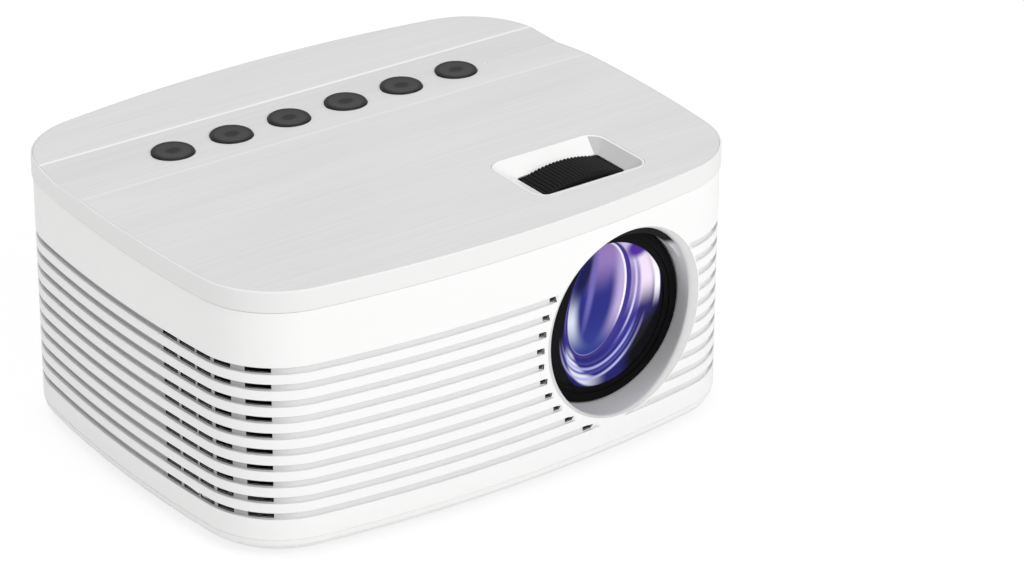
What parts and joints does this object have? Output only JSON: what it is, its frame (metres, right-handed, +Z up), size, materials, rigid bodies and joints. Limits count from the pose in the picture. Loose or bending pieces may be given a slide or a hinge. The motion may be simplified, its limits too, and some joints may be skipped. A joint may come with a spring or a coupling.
{
  "type": "projector with disc player",
  "caption": "Small table projector: bowed, slotted case with a recessed lens, a focus wheel in the top, round push buttons and a slim disc tray at the rear.",
  "frame": {"origin": "middle of the case's width and depth, on the floor under the rubber feet", "axes": "+X to the right as seen from the lens side, +Y from the lens side to the socket side, +Z up"},
  "size_m": [0.221, 0.1758, 0.1027],
  "materials": {
    "case_white": "satin",
    "panel_grain": "fine streaks along X, satin",
    "button_black": "satin",
    "black_plastic": "fine texture",
    "lens_black": "matt black anodised",
    "lens_glass": "polished, blue-violet coating",
    "clear_optics": "polished",
    "mirror_silver": "polished",
    "reflector": "bright",
    "ir_red": "polished",
    "light_pipe": "polished",
    "eject_grey": "satin",
    "steel": "zinc plated",
    "rubber_black": "matt",
    "brass": "turned",
    "aluminium": "extruded",
    "board_green": "solder mask"
  },
  "bodies": {
    "root": {"base_cover": "case_white", "body_shell": "case_white", "top_cover": "case_white", "top_panel": "panel_grain", "lens_bezel": "case_white", "socket_panel": "black_plastic", "ir_window": "ir_red", "status_light": "light_pipe", "case_screws": "steel", "cover_screws": "steel", "rubber_feet": "rubber_black", "tripod_insert": "brass", "button_board": "board_green", "lens_barrel": "black_plastic", "focus_clip": "steel", "engine_tub": "black_plastic", "engine_lid": "black_plastic", "mirror_plate": "mirror_silver", "lcd_panel": "clear_optics", "fresnel_lenses": "clear_optics", "light_tunnel": "reflector", "condenser_lens": "clear_optics", "led_board": "aluminium", "led_heatsink": "aluminium", "fan_frame": "black_plastic", "speaker": "black_plastic", "main_board": "board_green", "hdmi_socket": "steel", "usb_socket": "steel", "audio_sockets": "black_plastic", "dc_socket": "black_plastic", "drive_pan": "steel", "drive_lid": "steel", "mid_plate": "steel"},
    "lens": {"lens_cell": "lens_black", "front_lens": "lens_glass", "middle_lens": "lens_glass", "rear_lens": "lens_glass", "lens_retainer": "lens_black", "lens_spacer": "lens_black", "focus_pin": "steel"},
    "focus_wheel": {"focus_ring": "black_plastic"},
    "fan": {"fan_rotor": "black_plastic"},
    "tray": {"disc_tray": "black_plastic", "tray_bezel": "case_white", "spindle_motor": "steel", "guide_rods": "steel"},
    "hub": {"turntable": "black_plastic"},
    "sled": {"laser_sled": "black_plastic"},
    "screw": {"lead_screw": "steel"},
    "eject": {"eject_button": "eject_grey"},
    "rail_left": {"tray_rail_left": "steel"},
    "rail_right": {"tray_rail_right": "steel"},
    "height_foot": {"tilt_foot": "black_plastic"},
    "key_1": {"button_1": "button_black"},
    "key_2": {"button_2": "button_black"},
    "key_3": {"button_3": "button_black"},
    "key_4": {"button_4": "button_black"},
    "key_5": {"button_5": "button_black"},
    "key_6": {"button_6": "button_black"}
  },
  "joints": [
    {"name": "press_1", "type": "slide", "parent": "root", "child": "key_1", "axis": [0, 0, -1], "range_m": [0, 0.0005], "stiffness_N_per_m": 1500},
    {"name": "press_2", "type": "slide", "parent": "root", "child": "key_2", "axis": [0, 0, -1], "range_m": [0, 0.0005], "stiffness_N_per_m": 1500},
    {"name": "press_3", "type": "slide", "parent": "root", "child": "key_3", "axis": [0, 0, -1], "range_m": [0, 0.0005], "stiffness_N_per_m": 1500},
    {"name": "press_4", "type": "slide", "parent": "root", "child": "key_4", "axis": [0, 0, -1], "range_m": [0, 0.0005], "stiffness_N_per_m": 1500},
    {"name": "press_5", "type": "slide", "parent": "root", "child": "key_5", "axis": [0, 0, -1], "range_m": [0, 0.0005], "stiffness_N_per_m": 1500},
    {"name": "press_6", "type": "slide", "parent": "root", "child": "key_6", "axis": [0, 0, -1], "range_m": [0, 0.0005], "stiffness_N_per_m": 1500},
    {"name": "lens_slide", "type": "slide", "parent": "root", "child": "lens", "axis": [0, 1, 0], "range_m": [-0.00225, 0.00225]},
    {"name": "focus_turn", "type": "hinge", "parent": "root", "child": "focus_wheel", "pos_m": [0.0452, 0, 0.052], "axis": [0, 1, 0], "range_deg": [-30, 30]},
    {"name": "fan_spin", "type": "hinge", "parent": "root", "child": "fan", "pos_m": [-0.10142, -0.03231, 0.0508], "axis": [1, 0, 0], "continuous": true},
    {"name": "tray_slide", "type": "slide", "parent": "root", "child": "tray", "axis": [0, 1, 0], "range_m": [0, 0.124]},
    {"name": "rail_left_slide", "type": "slide", "parent": "root", "child": "rail_left", "axis": [0, 1, 0], "range_m": [0, 0.062]},
    {"name": "rail_right_slide", "type": "slide", "parent": "root", "child": "rail_right", "axis": [0, 1, 0], "range_m": [0, 0.062]},
    {"name": "disc_spin", "type": "hinge", "parent": "tray", "child": "hub", "pos_m": [0, 0.0186, 0.0093], "axis": [0, 0, 1], "continuous": true},
    {"name": "sled_slide", "type": "slide", "parent": "tray", "child": "sled", "axis": [0, -1, 0], "range_m": [0, 0.033]},
    {"name": "screw_spin", "type": "hinge", "parent": "tray", "child": "screw", "pos_m": [-0.0245, -0.0439, 0.0116], "axis": [0, 1, 0], "continuous": true},
    {"name": "eject_press", "type": "slide", "parent": "tray", "child": "eject", "axis": [0, -1, 0], "range_m": [0, 0.0008], "stiffness_N_per_m": 600},
    {"name": "foot_lift", "type": "slide", "parent": "root", "child": "height_foot", "axis": [0, 0, -1], "range_m": [0, 0.012]}
  ],
  "couplings": [
    {"joint": "focus_turn", "follows": "lens_slide", "rad_per_m": -232.71},
    {"joint": "rail_left_slide", "follows": "tray_slide", "ratio": 0.5},
    {"joint": "rail_right_slide", "follows": "tray_slide", "ratio": 0.5},
    {"joint": "screw_spin", "follows": "sled_slide", "rad_per_m": 2094.4}
  ]
}
